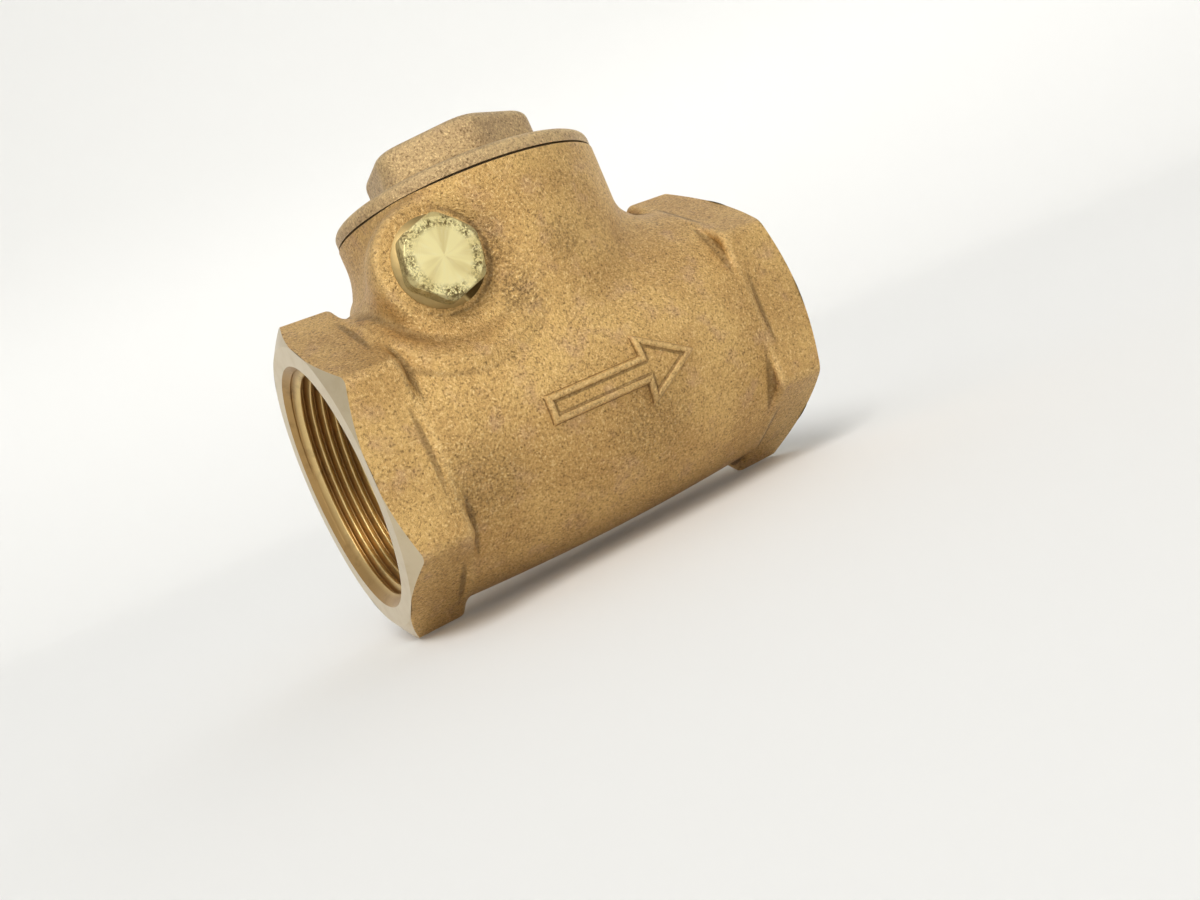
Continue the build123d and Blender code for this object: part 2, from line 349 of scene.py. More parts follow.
    @staticmethod
    def _mark_sharp(mesh: bpy.types.Mesh, sizes: Array, finish: Array, limit: float) -> None:
        """Mark sharp edges by comparing the two faces on each edge as whole arrays.

        Args:
            mesh: the mesh to mark.
            sizes: number of corners of each face.
            finish: finish number of each face.
            limit: cosine of the angle past which a machined edge is sharp.
        """
        edge_of = np.empty(len(mesh.loops), np.int32)
        mesh.loops.foreach_get("edge_index", edge_of)
        normal = np.empty(len(mesh.polygons) * 3, np.float32)
        mesh.polygons.foreach_get("normal", normal)
        normal = normal.reshape(-1, 3)
        face_of = np.repeat(np.arange(len(sizes)), sizes)
        order = np.argsort(edge_of, kind="stable")
        edge, face = edge_of[order], face_of[order]
        pair = np.flatnonzero(edge[1:] == edge[:-1])
        first, second = face[pair], face[pair + 1]
        turned = (normal[first] * normal[second]).sum(axis=1) < limit
        machined = (finish[first] == 1) & (finish[second] == 1)
        sharp = np.zeros(len(mesh.edges), bool)
        sharp[edge[pair]] = (finish[first] != finish[second]) | (machined & turned)
        kept = mesh.attributes.new("sharp_edge", "BOOLEAN", "EDGE")
        kept.data.foreach_set("value", sharp)


def net_over(shape: Field, low: Sequence[float], high: Sequence[float],
             step: float) -> tuple[Array, Array]:
    """Mesh the zero of a field: one point in each cell that it crosses, one face an edge.

    Each point is the mean of the crossings on its cell's twelve edges, is evened out once
    with its neighbours, and is then pulled onto the field's zero.

    Args:
        shape: the field, negative inside.
        low: lowest corner of the region.
        high: highest corner of the region.
        step: cell size.

    Returns:
        Points, and faces of three corners that look outwards.
    """
    low = np.asarray(low, float)
    axes = [np.arange(a, b + step, step) for a, b in zip(low, high)]
    lattice = np.stack(np.meshgrid(*axes, indexing="ij"), axis=-1)
    value = shape(lattice.reshape(-1, 3)).reshape(lattice.shape[:3])
    inside = value < 0.0
    cells = tuple(n - 1 for n in inside.shape)
    filled = np.zeros(cells, np.int8)
    for corner in np.ndindex(2, 2, 2):
        window = tuple(slice(c, c + n) for c, n in zip(corner, cells))
        filled += inside[window]
    crossed = (filled > 0) & (filled < 8)
    number = np.full(cells, -1)
    number[crossed] = np.arange(crossed.sum())
    cell = np.argwhere(crossed)
    total = np.zeros((len(cell), 3))
    hits = np.zeros(len(cell))
    unit = np.eye(3, dtype=int)
    for axis in range(3):
        beside, above = unit[(axis + 1) % 3], unit[(axis + 2) % 3]
        for shift in (0 * beside, beside, above, beside + above):
            start = cell + shift
            here = value[tuple(start.T)]
            there = value[tuple((start + unit[axis]).T)]
            cut = (here < 0.0) != (there < 0.0)
            share = here[cut] / (here[cut] - there[cut])
            total[cut] += start[cut] + share[:, None] * unit[axis]
            hits[cut] += 1
    points = low + step * total / hits[:, None]
    quads = []
    for axis in range(3):
        beside, above = unit[(axis + 1) % 3], unit[(axis + 2) % 3]
        before = np.take(inside, range(inside.shape[axis] - 1), axis)
        after = np.take(inside, range(1, inside.shape[axis]), axis)
        for leaving in (True, False):
            edge = np.argwhere((before != after) & (before == leaving))
            keep = np.all((edge - beside - above >= 0) & (edge < np.array(cells)), axis=1)
            edge = edge[keep]
            ring = [number[tuple((edge - s).T)]
                    for s in (beside + above, above, 0 * above, beside)]
            face = np.stack(ring, axis=1)
            quads.append(face if leaving else face[:, ::-1])
    quads = np.concatenate(quads)
    points = pull_to([shape], points, 2)
    points = pull_to([shape], even_out(points, quads), 3)
    return points, split_quads(points, quads)


def even_out(points: Array, quads: Array) -> Array:
    """Move each point half way to the mean of its faces' middles.

    Args:
        points: the mesh's points.
        quads: its faces, of four corners.

    Returns:
        The moved points, in a new array.
    """
    middle = points[quads].mean(axis=1)
    total = np.zeros_like(points)
    hits = np.zeros(len(points))
    for corner in range(4):
        np.add.at(total, quads[:, corner], middle)
        np.add.at(hits, quads[:, corner], 1)
    return 0.5 * points + 0.5 * total / np.maximum(hits, 1)[:, None]


def split_quads(points: Array, quads: Array) -> Array:
    """Cut each four-cornered face in two along its shorter diagonal.

    Args:
        points: the mesh's points.
        quads: its faces, of four corners.

    Returns:
        The faces, of three corners.
    """
    across = np.linalg.norm(points[quads[:, 0]] - points[quads[:, 2]], axis=1)
    other = np.linalg.norm(points[quads[:, 1]] - points[quads[:, 3]], axis=1)
    turned = np.where((across <= other)[:, None], quads, np.roll(quads, -1, axis=1))
    return np.concatenate([turned[:, [0, 1, 2]], turned[:, [0, 2, 3]]])


def trim(points: Array, faces: Array, shape: Field, cut: Field,
         snap: float) -> tuple[Array, Array, Array]:
    """Cut a mesh along the zero of a second field, and keep the side where it is negative.

    Points nearer than snap to the cut are moved onto it, and faces that cross it are
    divided there, so that the rim lies on both surfaces.

    Args:
        points: the mesh's points.
        faces: its faces, of three corners.
        shape: the field that the mesh lies on.
        cut: the field that trims it.
        snap: how near the cut a point has to be to be moved onto it.

    Returns:
        The trimmed points and faces, and the numbers of the points on the new rim.
    """
    side = cut(points)
    near = np.abs(side) < snap
    points = points.copy()
    points[near] = pull_to([shape, cut], points[near], 6)
    side = np.where(near, 0.0, side)
    keep = side <= 0.0
    held = keep[faces].sum(axis=1)
    whole = faces[held == 3]
    new_points = [points]
    new_faces = [whole]
    base = len(points)
    mixed = faces[(held == 1) | (held == 2)]
    if len(mixed):
        lone_kept = keep[mixed].sum(axis=1) == 1
        lone = np.where(lone_kept[:, None], keep[mixed], ~keep[mixed])
        first = np.argmax(lone, axis=1)
        turn = (first[:, None] + np.arange(3)) % 3
        a, b, c = np.take_along_axis(mixed, turn, axis=1).T
        ends = np.concatenate([np.stack([a, b], 1), np.stack([a, c], 1)])
        ends = np.sort(ends, axis=1)
        unique, where = np.unique(ends, axis=0, return_inverse=True)
        where = where.ravel() + base
        start, stop = side[unique[:, 0]], side[unique[:, 1]]
        share = (start / (start - stop))[:, None]
        met = points[unique[:, 0]] * (1 - share) + points[unique[:, 1]] * share
        new_points.append(pull_to([shape, cut], met, 6))
        ab, ac = where[:len(a)], where[len(a):]
        new_faces.append(np.stack([a, ab, ac], 1)[lone_kept])
        new_faces.append(np.stack([ab, b, c], 1)[~lone_kept])
        new_faces.append(np.stack([ab, c, ac], 1)[~lone_kept])
    points = np.concatenate(new_points)
    faces = np.concatenate(new_faces)
    faces = merge_doubles(points, faces)
    used, faces = np.unique(faces, return_inverse=True)
    points = points[used]
    faces = faces.reshape(-1, 3)
    return points, faces, rim_of(points, faces, cut)


def merge_doubles(points: Array, faces: Array, reach: float = 1e-4) -> Array:
    """Give points that coincide one number, and drop the faces that this closes up.

    Args:
        points: the mesh's points.
        faces: its faces, of three corners.
        reach: how near two points count as one, in mm.

    Returns:
        The faces that are left, by the first number of each point.
    """
    grid = np.round(points / reach).astype(np.int64)
    _, first, same = np.unique(grid, axis=0, return_index=True, return_inverse=True)
    faces = first[same.ravel()][faces]
    flat = (faces == np.roll(faces, 1, axis=1)).any(axis=1)
    return faces[~flat]


def rim_of(points: Array, faces: Array, cut: Field) -> Array:
    """Numbers of the points on edges that only one face uses, near the zero of a field.

    Args:
        points: the mesh's points.
        faces: its faces, of three corners.
        cut: the field that the rim lies on.

    Returns:
        The rim's point numbers, in rising order.
    """
    edges = np.sort(faces[:, [[0, 1], [1, 2], [2, 0]]].reshape(-1, 2), axis=1)
    unique, uses = np.unique(edges, axis=0, return_counts=True)
    rim = np.unique(unique[uses == 1])
    return rim[np.abs(cut(points[rim])) < 0.05]


# ---------------------------------------------------------------- materials
def _operator(operation: str, swapped: bool = False) -> Callable[["Wire", "Wire | float"], "Wire"]:
    """Make the arithmetic method of wires for one Math node's operation.

    Args:
        operation: the node's operation.
        swapped: put the other value first.

    Returns:
        The method.
    """
    def apply(self: "Wire", other: "Wire | float") -> "Wire":
        """Add the Math node, with the other value first when swapped."""
        pair = (other, self) if swapped else (self, other)
        return self.maths(operation, *pair)
    return apply


class Wire:
    """One socket of a material, with arithmetic on it written as an expression."""

    def __init__(self, web: "Web", socket: bpy.types.NodeSocket) -> None:
        """Wrap a socket of a web's tree."""
        self.web = web
        self.socket = socket

    def maths(self, operation: str, *values: "Wire | float") -> "Wire":
        """Add one Math node for an operation on this web."""
        inputs = dict(enumerate(values))
        return self.web.add("ShaderNodeMath", {"operation": operation}, inputs)

    __add__ = __radd__ = _operator("ADD")
    __sub__ = _operator("SUBTRACT")
    __rsub__ = _operator("SUBTRACT", swapped=True)
    __mul__ = __rmul__ = _operator("MULTIPLY")
    __truediv__ = _operator("DIVIDE")

    def sine(self) -> "Wire":
        """Sine."""
        return self.maths("SINE", self)

    def root(self) -> "Wire":
        """Square root."""
        return self.maths("SQRT", self)

    def ramp(self, low: float, high: float) -> "Wire":
        """Rise smoothly from 0 at low to 1 at high.

        Args:
            low: the value that becomes 0.
            high: the value that becomes 1.

        Returns:
            The ramped value.
        """
        settings = {"interpolation_type": "SMOOTHSTEP"}
        inputs = {"Value": self, "From Min": low, "From Max": high}
        return self.web.add("ShaderNodeMapRange", settings, inputs)


class Web:
    """The nodes of one material, ending in one Principled shader."""

    def __init__(self, name: str) -> None:
        """Start a material with an empty tree and its shader.

        Args:
            name: the material's name.
        """
        self.material = bpy.data.materials.new(name)
        self.material.use_nodes = True
        self.tree = self.material.node_tree
        self.tree.nodes.clear()
        self.shader = self.tree.nodes.new("ShaderNodeBsdfPrincipled")
        output = self.tree.nodes.new("ShaderNodeOutputMaterial")
        self.tree.links.new(self.shader.outputs[0], output.inputs[0])
        self._place: Optional[Wire] = None

    def add(self, kind: str, settings: dict, inputs: dict, output: int | str = 0) -> Wire:
        """Add a node.

        Args:
            kind: the node's type.
            settings: its properties, set before its sockets.
            inputs: values or wires by socket name or number.
            output: which output to hand back.

        Returns:
            That output as a wire.
        """
        node = self.tree.nodes.new(kind)
        for name, value in settings.items():
            setattr(node, name, value)
        for key, value in inputs.items():
            self._join(node.inputs[key], value)
        return Wire(self, node.outputs[output])

    def _join(self, socket: bpy.types.NodeSocket, value: object) -> None:
        """Link a wire to a socket, or set a plain value on it.

        Args:
            socket: a node's input.
            value: a wire, or what the socket holds.
        """
        if isinstance(value, Wire):
            self.tree.links.new(value.socket, socket)
        else:
            socket.default_value = value

    def finish(self, **values: object) -> bpy.types.Material:
        """Set the shader's sockets, with underscores for spaces, and hand the material back."""
        for name, value in values.items():
            self._join(self.shader.inputs[name.replace("_", " ")], value)
        return self.material

    @property
    def place(self) -> Wire:
        """Object coordinates in millimetres."""
        if self._place is None:
            at = self.add("ShaderNodeTexCoord", {}, {}, "Object")
            inputs = {0: at, "Scale": 1.0 / MM}
            self._place = self.add("ShaderNodeVectorMath", {"operation": "SCALE"}, inputs)
        return self._place

    def axes(self) -> tuple[Wire, Wire, Wire]:
        """X, Y and Z of the object coordinates, in millimetres."""
        first = self.add("ShaderNodeSeparateXYZ", {}, {0: self.place}, 0)
        node = first.socket.node
        return tuple(Wire(self, node.outputs[i]) for i in range(3))

    def radius(self, along: int, centre: Sequence[float] = (0.0, 0.0, 0.0)) -> Wire:
        """Distance in millimetres from the line through a centre along one axis.

        Args:
            along: the axis, by number.
            centre: a point on it, in mm.

        Returns:
            The distance, in mm.
        """
        pairs = enumerate(zip(self.axes(), centre))
        first, second = (axis - middle for i, (axis, middle) in pairs if i != along)
        return (first * first + second * second).root()

    def noise(self, feature: float, detail: float = 2.0, rough: float = 0.5,
              at: Optional[Wire] = None, seed: float = 0.0) -> Wire:
        """Noise between 0 and 1 whose lumps are about feature millimetres across.

        Args:
            feature: size of its features, in mm.
            detail: how many finer layers it has.
            rough: how strong the finer layers are.
            at: where it is read, or None for the place itself.
            seed: moves the pattern.

        Returns:
            The noise, about 0 to 1.
        """
        inputs = {"Vector": at or self.place, "W": seed, "Scale": 1.0 / feature,
                  "Detail": detail, "Roughness": rough}
        return self.add("ShaderNodeTexNoise", {"noise_dimensions": "4D"}, inputs)

    def mix(self, share: Wire | float, first: object, second: object) -> Wire:
        """Colour mix from first to second."""
        settings = {"data_type": "RGBA"}
        return self.add("ShaderNodeMix", settings, {0: share, 6: first, 7: second}, 2)

    def near(self, centre: Sequence[float], reach: float) -> Wire:
        """1 at a point of the piece, falling smoothly to 0 at reach millimetres from it.

        Args:
            centre: the point, in mm.
            reach: where it has faded to 0, in mm.

        Returns:
            1 at the point, 0 past the reach.
        """
        inputs = {0: self.place, 1: tuple(centre)}
        away = self.add("ShaderNodeVectorMath", {"operation": "DISTANCE"}, inputs, "Value")
        return 1.0 - away.ramp(0.25 * reach, reach)

    def bump(self, height: Wire, depth: float, normal: Optional[Wire] = None) -> Wire:
        """Normal of a relief whose height of 1 stands depth millimetres high.

        Args:
            height: the relief.
            depth: how high a height of 1 stands, in mm.
            normal: another relief under it.

        Returns:
            The normal.
        """
        inputs = {"Height": height, "Distance": depth * MM, "Strength": 1.0}
        if normal is not None:
            inputs["Normal"] = normal
        return self.add("ShaderNodeBump", {}, inputs)


Colour = tuple[float, float, float, float]


def tone(red: float, green: float, blue: float) -> Colour:
    """An opaque linear colour."""
    return (red, green, blue, 1.0)


@dataclass(frozen=True)
class CastBronze:
    """Sand-cast bronze: golden brown, the mould's grain, painted glints, staining, painted shade,
    painted edge highlights.
    """

    name: str = "cast_bronze"
    bright: Colour = tone(0.64, 0.41, 0.15)
    plain: Colour = tone(0.53, 0.32, 0.112)
    rosy: Colour = tone(0.52, 0.325, 0.18)
    dark: Colour = tone(0.12, 0.068, 0.026)
    glint: Colour = tone(0.90, 0.68, 0.34)
    rubbed_and_highlight: Colour = tone(0.86, 0.66, 0.34)
    grain: float = 0.40
    grain_depth: float = 0.46
    roughness: float = 0.47
    metal: float = 0.78
    patina_and_shade: float = 0.8
    shine: float = 0.22
    stains_and_shade: tuple[tuple[float, float, float, float], ...] = ()

    def material(self) -> bpy.types.Material:
        """Build the material."""
        web = Web(self.name)
        broad = web.noise(16.0, 3.0, 0.55)
        cloud = web.noise(5.0, 3.0, 0.6, seed=4.0)
        speck = web.noise(self.grain, 3.0, 0.66, seed=1.0)
        pits = web.noise(self.grain * 1.2, 3.0, 0.7, seed=2.0)
        colour = web.mix(broad.ramp(0.36, 0.62), self.plain, self.bright)
        colour = web.mix(cloud.ramp(0.50, 0.72) * 0.55, colour, self.rosy)
        colour = web.mix(speck.ramp(0.52, 0.28) * 0.85, colour, self.dark)
        colour = web.mix(speck.ramp(0.53, 0.68) * 0.60, colour, self.glint)
        # Dark pits as grime, and darker patches round the listed points: partly staining, partly
        # painted shade beside and under the plug's boss.
        dirt_and_shade = pits.ramp(0.60, 0.75) * 0.3
        for x, y, z, reach in self.stains_and_shade:
            dirt_and_shade = dirt_and_shade + web.near((x, y, z), reach) * pits.ramp(0.36, 0.68) * 0.55
        colour = web.mix(dirt_and_shade, colour, self.dark)
        bend = web.add("ShaderNodeAttribute", {"attribute_name": "bend"}, {}, "Fac")
        # Darker where the bend attribute marks a hollow (creases, fillets, the arrow's foot):
        # partly oxide, partly painted shade.
        hollow = (bend + 0.06).ramp(0.0, -0.40) * (0.45 + pits * 0.5)
        colour = web.mix(hollow * self.patina_and_shade, colour, self.dark)
        # Lighter on sharp edges, by the bend attribute: partly worn metal, partly a painted
        # highlight.
        edge = (bend - 0.12).ramp(0.0, 0.55) * (0.25 + speck * 0.8)
        colour = web.mix(edge * self.shine, colour, self.rubbed_and_highlight)
        height = speck * 0.65 + web.noise(self.grain * 0.45, 1.0, 0.5, seed=3.0) * 0.25
        height = height + web.noise(1.6, 2.0, 0.5, seed=5.0) * 0.4
        normal = web.bump(height, self.grain_depth)
        rough = self.roughness + speck.ramp(0.3, 0.7) * -0.10 + cloud * 0.10
        return web.finish(Base_Color=colour, Metallic=self.metal, Roughness=rough,
                          Normal=normal)


@dataclass(frozen=True)
class TurnedFace:
    """A face turned on a lathe: fine rings about an axis, satin, slightly stained."""

    name: str
    colour: Colour
    worn: Colour
    centre: tuple[float, float, float]
    along: int
    pitch: float = 0.22
    depth: float = 0.006
    roughness: float = 0.26
    stain: float = 0.35

    def material(self) -> bpy.types.Material:
        """Build the material."""
        web = Web(self.name)
        radius = web.radius(self.along, self.centre)
        wobble = web.noise(3.0, 2.0) * 0.6
        rings = ((radius + wobble) * (2.0 * math.pi / self.pitch)).sine() * 0.5 + 0.5
        cloud = web.noise(4.0, 4.0, 0.6, seed=6.0)
        fine = web.noise(0.5, 2.0, 0.6, seed=7.0)
        colour = web.mix(cloud.ramp(0.45, 0.75) * self.stain, self.colour, self.worn)
        colour = web.mix(fine.ramp(0.62, 0.8) * self.stain, colour, self.worn)
        normal = web.bump(rings + fine * 0.8, self.depth)
        rough = self.roughness + cloud * 0.16
        return web.finish(Base_Color=colour, Metallic=1.0, Roughness=rough, Normal=normal)


@dataclass(frozen=True)
class CutThread:
    """Tapped pipe thread: browned flanks, lighter towards the crests and darker towards the roots.
    """

    name: str = "cut_thread"
    flank: Colour = tone(0.42, 0.26, 0.10)
    crest: Colour = tone(0.78, 0.58, 0.26)
    stain: Colour = tone(0.16, 0.09, 0.04)
    crest_radius: float = 22.7
    root_radius: float = 23.9

    def material(self) -> bpy.types.Material:
        """Build the material."""
        web = Web(self.name)
        radius = web.radius(0)
        top = 1.0 - radius.ramp(self.crest_radius, self.root_radius)
        cloud = web.noise(3.5, 4.0, 0.6)
        colour = web.mix(top * (0.5 + cloud * 0.6), self.flank, self.crest)
        colour = web.mix(cloud.ramp(0.5, 0.75) * 0.5, colour, self.stain)
        normal = web.bump(web.noise(0.35, 3.0, 0.6), 0.02)
        rough = 0.24 + cloud * 0.22
        return web.finish(Base_Color=colour, Metallic=0.95, Roughness=rough, Normal=normal)


@dataclass(frozen=True)
class PlugBrass:
    """Yellow brass bar, turned across its end and worn dark round the chamfer, with a painted
    highlight and a painted fanned reflection on its face.
    """

    centre: tuple[float, float]
    face_radius: float
    name: str = "plug_brass"
    # The face's colour is brass raised to full brightness: partly its own colour, partly a painted
    # highlight of the key light.
    face: Colour = tone(1.0, 0.88, 0.45)
    side: Colour = tone(0.40, 0.33, 0.145)
    worn: Colour = tone(0.17, 0.125, 0.045)
    # Colours of the painted fanned reflection on the face: dim sectors and bright streaks.
    dim_sector_reflection: Colour = tone(0.66, 0.51, 0.20)
    bright: Colour = tone(0.98, 0.92, 0.62)
    turning_pitch: float = 0.32

    def material(self) -> bpy.types.Material:
        """Build the material."""
        web = Web(self.name)
        x, _, z = web.axes()
        across, up = x - self.centre[0], z - self.centre[1]
        radius = (across * across + up * up).root()
        share = radius / self.face_radius
        reach = radius + 0.15
        spokes = web.add("ShaderNodeCombineXYZ", {}, {
            0: across / reach, 1: up / reach, 2: share * 0.35})
        sector = web.noise(0.75, 2.0, 0.55, at=spokes, seed=8.0)
        streak = web.noise(0.16, 2.0, 0.6, at=spokes, seed=9.0)
        flank = share.ramp(0.98, 1.04)
        colour = web.mix(flank, self.face, self.side)
        # Dim sectors and bright streaks about the axis: a painted reflection of the turned rings'
        # fanned highlight.
        colour = web.mix(sector.ramp(0.42, 0.62) * 0.55, colour, self.dim_sector_reflection)
        colour = web.mix(streak.ramp(0.5, 0.8) * 0.35, colour, self.bright)
        band = share.ramp(0.66, 0.86) * (1.0 - share.ramp(1.10, 1.2))
        patch = web.noise(2.6, 3.0, 0.65, seed=10.0)
        marks = web.noise(0.42, 3.0, 0.7, seed=11.0)
        wear = band * (0.15 + patch.ramp(0.38, 0.58)) * marks.ramp(0.40, 0.56)
        colour = web.mix(wear * 0.9, colour, self.worn)
        rings = (radius * (2.0 * math.pi / self.turning_pitch)).sine()
        normal = web.bump(rings * (1.0 - share.ramp(0.96, 1.02)), 0.004)
        normal = web.bump(marks * (0.25 + band), 0.03, normal)
        rough = 0.30 + sector * 0.10 + wear * 0.30 + flank * 0.20
        metal = 1.0 - flank * 0.6
        return web.finish(Base_Color=colour, Metallic=metal, Roughness=rough, Normal=normal)


@dataclass(frozen=True)
class PlainMetal:
    """Ground or drawn metal with faint scratches and handling marks."""

    name: str
    colour: Colour
    worn: Colour
    roughness: float = 0.32

    def material(self) -> bpy.types.Material:
        """Build the material."""
        web = Web(self.name)
        cloud = web.noise(2.5, 4.0, 0.6)
        fine = web.noise(0.25, 3.0, 0.6, seed=1.0)
        colour = web.mix(cloud.ramp(0.42, 0.7) * 0.6, self.colour, self.worn)
        normal = web.bump(fine, 0.012)
        rough = self.roughness + cloud * 0.15
        return web.finish(Base_Color=colour, Metallic=1.0, Roughness=rough, Normal=normal)


@dataclass(frozen=True)
class SoftSeal:
    """Polymer or fibre sheet: matt, faintly mottled, with a fine skin."""

    name: str
    colour: Colour
    mottled: Colour
    roughness: float = 0.6

    def material(self) -> bpy.types.Material:
        """Build the material."""
        web = Web(self.name)
        cloud = web.noise(2.0, 4.0, 0.65)
        fine = web.noise(0.3, 2.0, 0.6, seed=1.0)
        colour = web.mix(cloud.ramp(0.4, 0.7), self.colour, self.mottled)
        return web.finish(Base_Color=colour, Metallic=0.0,
                          Roughness=self.roughness + fine * 0.2,
                          Normal=web.bump(fine, 0.02))


# ---------------------------------------------------------------- the valve's sub-assemblies
class Side(Enum):
    """The two ends of the body."""

    INLET = "inlet"
    OUTLET = "outlet"


def show(piece: bpy.types.Object, body: str, slot: str, *nodes: str) -> None:
    """Let a new piece ride on a body and stand for CAD nodes.

    Args:
        piece: the new object.
        body: name of the body that it rides on.
        slot: name of its material slot; not used.
        nodes: names of the nodes that it stands for.
    """
    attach(piece, body)
    if nodes:
        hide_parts(*nodes)
    log.info("piece %s: %d faces", piece.name, len(piece.data.polygons))


@dataclass
class ValveBody:
    """The body casting: barrel, wrench hexagons, neck, bosses and machined passages."""

    length: float = 97.0
    half_flats: float = 28.6
    hexagon_length: float = 12.7
    hexagon_corner: float = 1.3
    rear_round: float = 1.3
    barrel_crown: float = 30.6
    barrel_end: float = 29.5
    barrel_start: float = 11.6
    barrel_ease: float = 1.2
    neck_radius: float = 28.4
    neck_top: float = 43.9
    side_fillet: float = 1.5
    end_fillet: float = 8.0
    pin_x: float = 27.8
    pin_z: float = 30.5
    boss_radius: float = 12.0
    boss_face: float = 24.9
    boss_round: float = 4.0
    boss_fillet: float = 5.0
    dish_radius: float = 9.6
    spot_radius: float = 8.7
    spot_depth: float = 24.35
    spot_bore: float = 5.0
    blind_radius: float = 7.0
    blind_face: float = 22.5
    blind_round: float = 3.0
    ridge_radius: float = 17.5
    ridge_size: float = 2.4
    ridge_end: float = 13.0
    ridge_sunk: float = 0.9
    face_radius: float = 28.8
    mouth_radius: float = 24.95
    chamfer: float = 30.0
    thread_depth: float = 18.5
    thread_root: float = 24.0
    thread_pitch: float = 25.4 / 11.5
    thread_height: float = 1.65
    thread_taper: float = 1.0 / 32.0
    thread_spare: float = 0.1
    countersink: float = 0.9
    port_radius: float = 18.5
    seat_base: float = 21.6
    seat_face: float = 22.6
    seat_edge: float = 21.3
    chamber_radius: float = 26.2
    outlet_lip: float = 75.5
    outlet_port: float = 20.0
    cavity_radius: float = 25.2
    cavity_top: float = 35.9
    cap_thread: float = 22.4
    pocket_radius: float = 4.8
    pocket_half_width: float = 6.8
    cell: float = 0.62
    passage_cell: float = 0.9

    @property
    def middle(self) -> float:
        """X of the neck's axis."""
        return self.length / 2.0

    def from_end(self, p: Array) -> Array:
        """Distance along the flow from the nearer end."""
        return np.minimum(p[:, 0], self.length - p[:, 0])

    def from_pin(self, p: Array) -> Array:
        """Distance from the hinge pin's axis."""
        return np.hypot(p[:, 0] - self.pin_x, p[:, 2] - self.pin_z)

    def from_neck(self, p: Array) -> Array:
        """Distance from the neck's axis."""
        return np.hypot(p[:, 0] - self.middle, p[:, 1])

    def from_flow(self, p: Array) -> Array:
        """Distance from the flow axis."""
        return np.hypot(p[:, 1], p[:, 2])

    def barrel_radius(self, p: Array) -> Array:
        """Radius of the barrel: it falls off as the square of the distance from the middle."""
        off = (p[:, 0] - self.middle) / (self.middle - self.hexagon_length)
        return self.barrel_crown - (self.barrel_crown - self.barrel_end) * off * off

    def barrel(self, p: Array) -> Array:
        """Round barrel, which starts a little inside each hexagon's rear edge."""
        round_wall = self.from_flow(p) - self.barrel_radius(p)
        return soft_max(round_wall, self.barrel_start - self.from_end(p), self.barrel_ease)

    def hexagons(self, p: Array) -> Array:
        """Both wrench hexagons, corners up and down, with rounded rear edges."""
        flats = hexagon_distance(p[:, 1], p[:, 2], self.half_flats, 0.0, self.hexagon_corner)
        return round_edge(flats, self.from_end(p) - self.hexagon_length, self.rear_round)

    def neck(self, p: Array) -> Array:
        """Upright round neck over the middle of the barrel."""
        return np.maximum(self.from_neck(p) - self.neck_radius, -p[:, 2])

    def boss(self, p: Array) -> Array:
        """Boss that widens towards the plug on the near side, and the blind one opposite.

        Args:
            p: points in millimetres, one a row.

        Returns:
            The distance, negative inside.
        """
        reach = self.from_pin(p)
        widening = smooth_step(-p[:, 1], 0.0, 0.8 * self.boss_face)
        radius = self.blind_radius + (self.boss_radius - self.blind_radius) * widening
        near = soft_max(reach - radius, -self.boss_face - p[:, 1], self.boss_round)
        far = soft_max(reach - self.blind_radius, p[:, 1] - self.blind_face, self.blind_round)
        return np.where(p[:, 1] < 0.0, near, far)

    def dish(self, p: Array) -> Array:
        """Flared round hollow that brings the neck down to the boss's face, beside the plug.

        Args:
            p: points in millimetres, one a row.

        Returns:
            The distance, negative inside.
        """
        proud = -self.boss_face - p[:, 1]
        flare = (self.from_pin(p) - self.dish_radius - proud) * math.sqrt(0.5)
        return np.maximum(flare, -proud)

    def ridge(self, p: Array) -> Array:
        """Soft casting ridge on the barrel, on an arc under the plug's boss.

        Args:
            p: points in millimetres, one a row.

        Returns:
            The distance, negative inside.
        """
        reach = self.from_pin(p) - self.ridge_radius
        shell = self.from_flow(p) - (self.barrel_end - self.ridge_sunk)
        tube = np.hypot(reach, shell) - self.ridge_size
        ends = np.maximum(p[:, 1] + self.ridge_end, self.hexagon_length - p[:, 0])
        return soft_max(tube, ends, 4.0)

    def casting(self, p: Array) -> Array:
        """The whole outside of the casting, its parts joined with the mould's fillets.

        Args:
            p: points in millimetres, one a row.

        Returns:
            The distance, negative inside.
        """
        end_on = np.clip(np.abs(p[:, 0] - self.middle) / self.neck_radius, 0.0, 1.0)
        fillet = self.side_fillet + (self.end_fillet - self.side_fillet) * end_on ** 2
        shape = soft_min(self.barrel(p), self.neck(p), fillet)
        shape = soft_min(shape, self.boss(p), self.boss_fillet)
        shape = soft_max(shape, -self.dish(p), 3.0)
        shape = soft_min(shape, self.ridge(p), 2.2)
        return soft_min(shape, self.hexagons(p), 1.3)

    def end_cone(self, p: Array) -> Array:
        """Positive beyond the turned cone and face of either end.

        Args:
            p: points in millimetres, one a row.

        Returns:
            The distance, negative inside.
        """
        lift = np.maximum(self.from_flow(p) - self.face_radius, 0.0)
        slope = math.radians(self.chamfer)
        return (lift * math.tan(slope) - self.from_end(p)) * math.cos(slope)

    def spot_hole(self, p: Array) -> Array:
        """Positive inside the spot face's cylinder, on the near side."""
        return np.where(p[:, 1] < -10.0, self.spot_radius - self.from_pin(p), -5.0)

